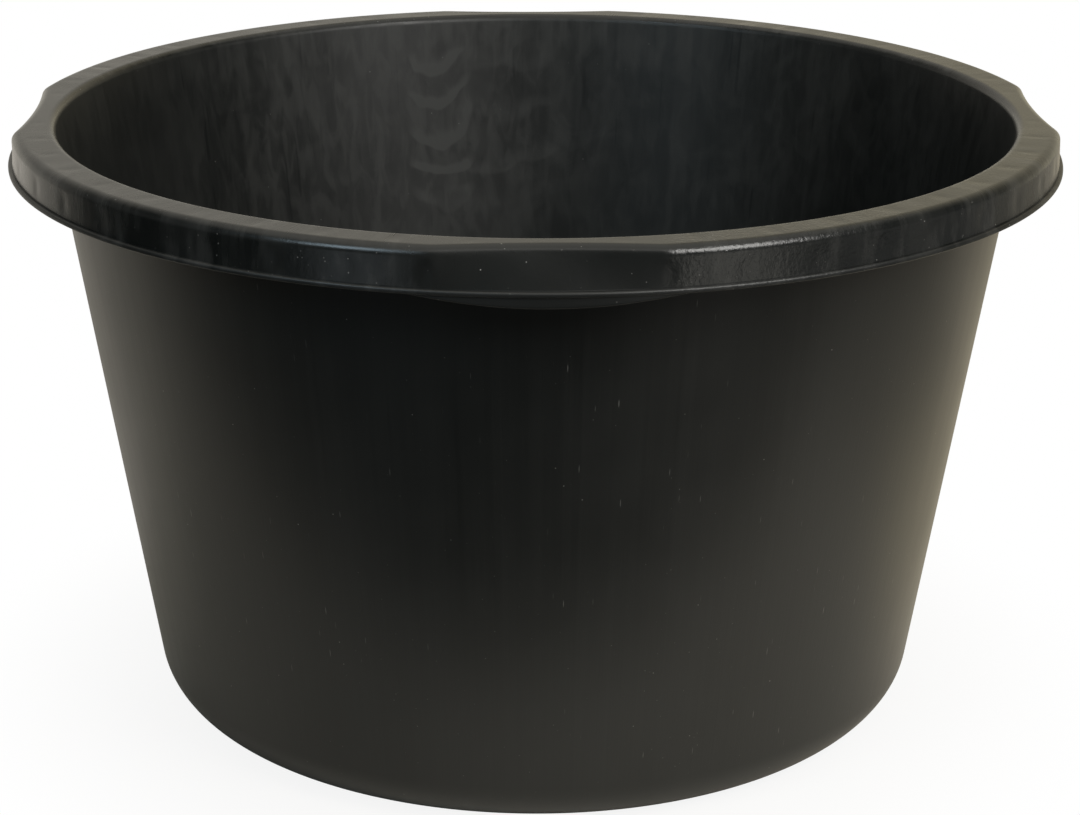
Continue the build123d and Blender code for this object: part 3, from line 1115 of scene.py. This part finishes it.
# %% Tones of the dome
dark_front = (0.012, 0.014, 0.014, 1)
grey_front = (0.32, 0.32, 0.31, 1)
cool_low, cool_high = (0.80, 0.76, 0.66, 1), (0.56, 0.53, 0.465, 1)
warm_low, warm_high = (0.82, 0.75, 0.55, 1), (0.575, 0.52, 0.38, 1)
right_patch = (1.40, 1.36, 1.25, 1)
left_patch = (0.60, 0.66, 0.70, 1)
ceiling = (0.95, 0.92, 0.84, 1)


def direction(azimuth, elevation):
    """A direction from angles in degrees: azimuth from +X towards +Y, elevation upwards."""
    turn, up = math.radians(azimuth), math.radians(elevation)
    return Vector((math.cos(turn) * math.cos(up), math.sin(turn) * math.cos(up), math.sin(up)))


print("the patch at the right lies towards", [round(part, 2) for part in direction(309, -13)])

# %% World
world = bpy.data.worlds.new("studio")
bpy.context.scene.world = world
sky = emptied(world)
toward_right, toward_back, upward = sky.parts(sky.value("ShaderNodeTexCoord", None, None, "Generated"))


def low_glow(azimuth, elevation, inner, outer):
    """A soft round patch of light in a direction, full within one angle and gone beyond another."""
    toward = direction(azimuth, elevation)
    facing = toward_right * toward.x + toward_back * toward.y + upward * toward.z
    return sky.ease(facing, math.cos(math.radians(outer)), math.cos(math.radians(inner)))


horizon = sky.ease(upward, -0.06, 0.08) * sky.fade(upward, 0.30, 0.50, left=0.30)
low_front = sky.band(upward, -0.40, -0.24, -0.06, 0.08) * sky.ease(toward_right, -0.7, 0.7, 0.05, 1.0)
low_front = low_front * sky.fade(toward_back, -0.30, 0.15, left=0.65)
front = sky.blend(sky.clamped(horizon * 0.3 + low_front), dark_front, grey_front)
height_share = sky.ease(upward, 0.05, 0.22)
cool_backdrop = sky.blend(height_share, cool_low, cool_high)
warm_backdrop = sky.blend(height_share, warm_low, warm_high)
backdrop = sky.blend(sky.ease(toward_right, -0.10, 0.25), cool_backdrop, warm_backdrop)
room = sky.blend(sky.ease(toward_back, 0.25, 0.85), front, backdrop)
room = sky.blend(low_glow(309, -13, 4, 15), room, right_patch)
room = sky.blend(low_glow(232, -13, 4, 13), room, left_patch)
room = sky.blend(sky.ease(upward, 0.62, 0.92), room, ceiling)
to_camera = sky.value("ShaderNodeLightPath", None, None, "Is Camera Ray")
shown = sky.blend(to_camera, room, white)
background = sky.value("ShaderNodeBackground", None, {"Color": shown, "Strength": 1.0})
sky.node("ShaderNodeOutputWorld", None, {"Surface": background})
print("nodes in the dome:", len(world.node_tree.nodes))

# %% [markdown]
# Three lamps, all soft. A tall one stands at the front right and a weaker, bluish one at the front
# left; they draw the bright line on the shoulder and the sheen inside. A long low-powered strip above
# the camera gives the shoulder of the front grip its thin edge of light.

# %% Lamps
lamp_target = Vector((0.0, 0.0, 0.25))
lamp_distance = 2.4


def softbox(name, azimuth, elevation, width, height, power, colour=(1, 1, 1)):
    """An area light on a sphere round the tub, facing it."""
    lamp = bpy.data.lights.new(name, "AREA")
    lamp.shape = "RECTANGLE"
    lamp.size = width
    lamp.size_y = height
    lamp.energy = power
    lamp.color = colour
    toward = direction(azimuth, elevation)
    holder = placed(name, lamp)
    holder.location = lamp_target + lamp_distance * toward
    holder.rotation_euler = (-toward).to_track_quat("-Z", "Y").to_euler()
    print(f"{name}: {power} W at {tuple(round(part, 2) for part in holder.location)}")


softbox("softbox_right", 309, 36, width=0.9, height=1.1, power=35, colour=(1.0, 0.985, 0.95))
softbox("softbox_left", 230, 33, width=0.6, height=0.8, power=10, colour=(0.70, 0.88, 1.0))
softbox("front_strip", 270, 55, width=2.2, height=0.25, power=1.6)

# %% [markdown]
# The camera stands where the photograph's did. Its place was worked out from the ellipses of the
# rim and the lip: 1.7 m in front, looking down by 19 degrees through a long lens.

# %% Camera
photo_width_px = 1080
focal_px = 2672.9
optical_centre_px = 534.9
camera_distance = 1.6841
camera_height = 0.7775
camera_swing = math.radians(-1.18)
camera_pitch = math.radians(19.435)
camera_roll = math.radians(0.176)

lens = bpy.data.cameras.new("portrait")
lens.sensor_width = 36.0
lens.lens = focal_px / photo_width_px * lens.sensor_width
lens.shift_x = 0.5 - optical_centre_px / photo_width_px
camera = placed("portrait", lens)
swing_round = Matrix.Rotation(camera_swing, 4, "Z")
step_back = Matrix.Translation((0, -camera_distance, camera_height))
aim = Matrix.Rotation(quarter_turn - camera_pitch, 4, "X") @ Matrix.Rotation(camera_roll, 4, "Z")
camera.matrix_world = swing_round @ step_back @ aim
bpy.context.scene.camera = camera
bpy.context.scene.view_settings.view_transform = "Standard"
print(f"lens of {lens.lens:.0f} mm")
